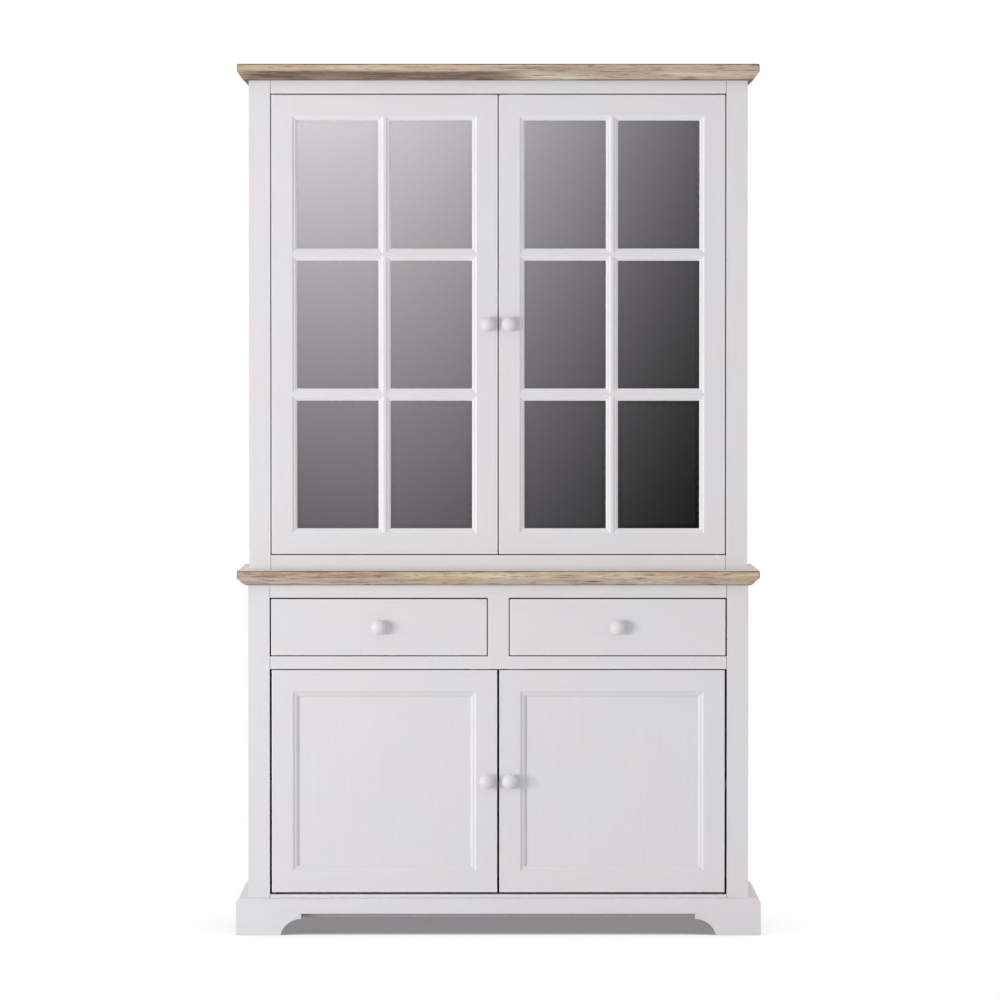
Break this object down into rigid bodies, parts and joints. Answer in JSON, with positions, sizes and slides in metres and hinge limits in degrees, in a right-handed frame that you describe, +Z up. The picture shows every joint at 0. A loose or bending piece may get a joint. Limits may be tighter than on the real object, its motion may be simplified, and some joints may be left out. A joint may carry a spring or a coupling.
{
  "type": "china cabinet",
  "caption": "Freestanding dresser: glazed display hutch over a base with drawers and panel doors, painted wood with a limed wood worktop and cornice, doors on concealed pivots.",
  "frame": {"origin": "on the floor, under the middle of the whole object's box", "axes": "+Z up, -Y out of the front, +X to the viewer's right"},
  "size_m": [1.202, 0.452, 1.995],
  "materials": {
    "paint": "satin off-white paint",
    "knob_paint": "satin off-white paint on turned wood",
    "limed_wood": "limed, lightly brushed acacia",
    "bare_wood": "bare softwood",
    "glass": "polished float glass",
    "steel": "zinc plated"
  },
  "bodies": {
    "cabinet": {"base_back": "paint", "base_floor": "paint", "base_rails": "paint", "base_shelf": "paint", "base_side_left": "paint", "base_side_right": "paint", "base_stiles": "paint", "cornice": "limed_wood", "door_catches": "steel", "drawer_deck": "bare_wood", "drawer_divider": "bare_wood", "drawer_muntin": "paint", "drawer_runners": "bare_wood", "hutch_back": "paint", "hutch_dowels": "bare_wood", "hutch_floor": "paint", "hutch_rails": "paint", "hutch_shelves": "paint", "hutch_side_left": "paint", "hutch_side_right": "paint", "hutch_stiles": "paint", "pivot_pins": "steel", "plinth_back": "bare_wood", "plinth_corner_blocks": "bare_wood", "plinth_front": "paint", "plinth_left": "paint", "plinth_right": "paint", "shelf_pins": "steel", "worktop": "limed_wood"},
    "hutch_door_left": {"hutch_door_left_fittings": "steel", "hutch_door_left_glass": "glass", "hutch_door_left_glazing_bars": "paint", "hutch_door_left_glazing_beads": "paint", "hutch_door_left_knob": "knob_paint", "hutch_door_left_rails": "paint", "hutch_door_left_stiles": "paint"},
    "hutch_door_right": {"hutch_door_right_fittings": "steel", "hutch_door_right_glass": "glass", "hutch_door_right_glazing_bars": "paint", "hutch_door_right_glazing_beads": "paint", "hutch_door_right_knob": "knob_paint", "hutch_door_right_rails": "paint", "hutch_door_right_stiles": "paint"},
    "base_door_left": {"base_door_left_fittings": "steel", "base_door_left_knob": "knob_paint", "base_door_left_panel": "paint", "base_door_left_rails": "paint", "base_door_left_stiles": "paint"},
    "base_door_right": {"base_door_right_fittings": "steel", "base_door_right_knob": "knob_paint", "base_door_right_panel": "paint", "base_door_right_rails": "paint", "base_door_right_stiles": "paint"},
    "drawer_left": {"drawer_left_box": "bare_wood", "drawer_left_front": "paint", "drawer_left_knob": "knob_paint"},
    "drawer_right": {"drawer_right_box": "bare_wood", "drawer_right_front": "paint", "drawer_right_knob": "knob_paint"}
  },
  "joints": [
    {"name": "hutch_door_left_hinge", "type": "hinge", "parent": "cabinet", "child": "hutch_door_left", "pos_m": [-0.50561, -0.126, 1.39775], "axis": [0, 0, -1], "range_deg": [0, 110]},
    {"name": "hutch_door_right_hinge", "type": "hinge", "parent": "cabinet", "child": "hutch_door_right", "pos_m": [0.50561, -0.126, 1.39775], "axis": [0, 0, 1], "range_deg": [0, 110]},
    {"name": "base_door_left_hinge", "type": "hinge", "parent": "cabinet", "child": "base_door_left", "pos_m": [-0.51195, -0.188, 0.34975], "axis": [0, 0, -1], "range_deg": [0, 110]},
    {"name": "base_door_right_hinge", "type": "hinge", "parent": "cabinet", "child": "base_door_right", "pos_m": [0.51195, -0.188, 0.34975], "axis": [0, 0, 1], "range_deg": [0, 110]},
    {"name": "drawer_left_slide", "type": "slide", "parent": "cabinet", "child": "drawer_left", "axis": [0, -1, 0], "range_m": [0, 0.3]},
    {"name": "drawer_right_slide", "type": "slide", "parent": "cabinet", "child": "drawer_right", "axis": [0, -1, 0], "range_m": [0, 0.3]}
  ]
}
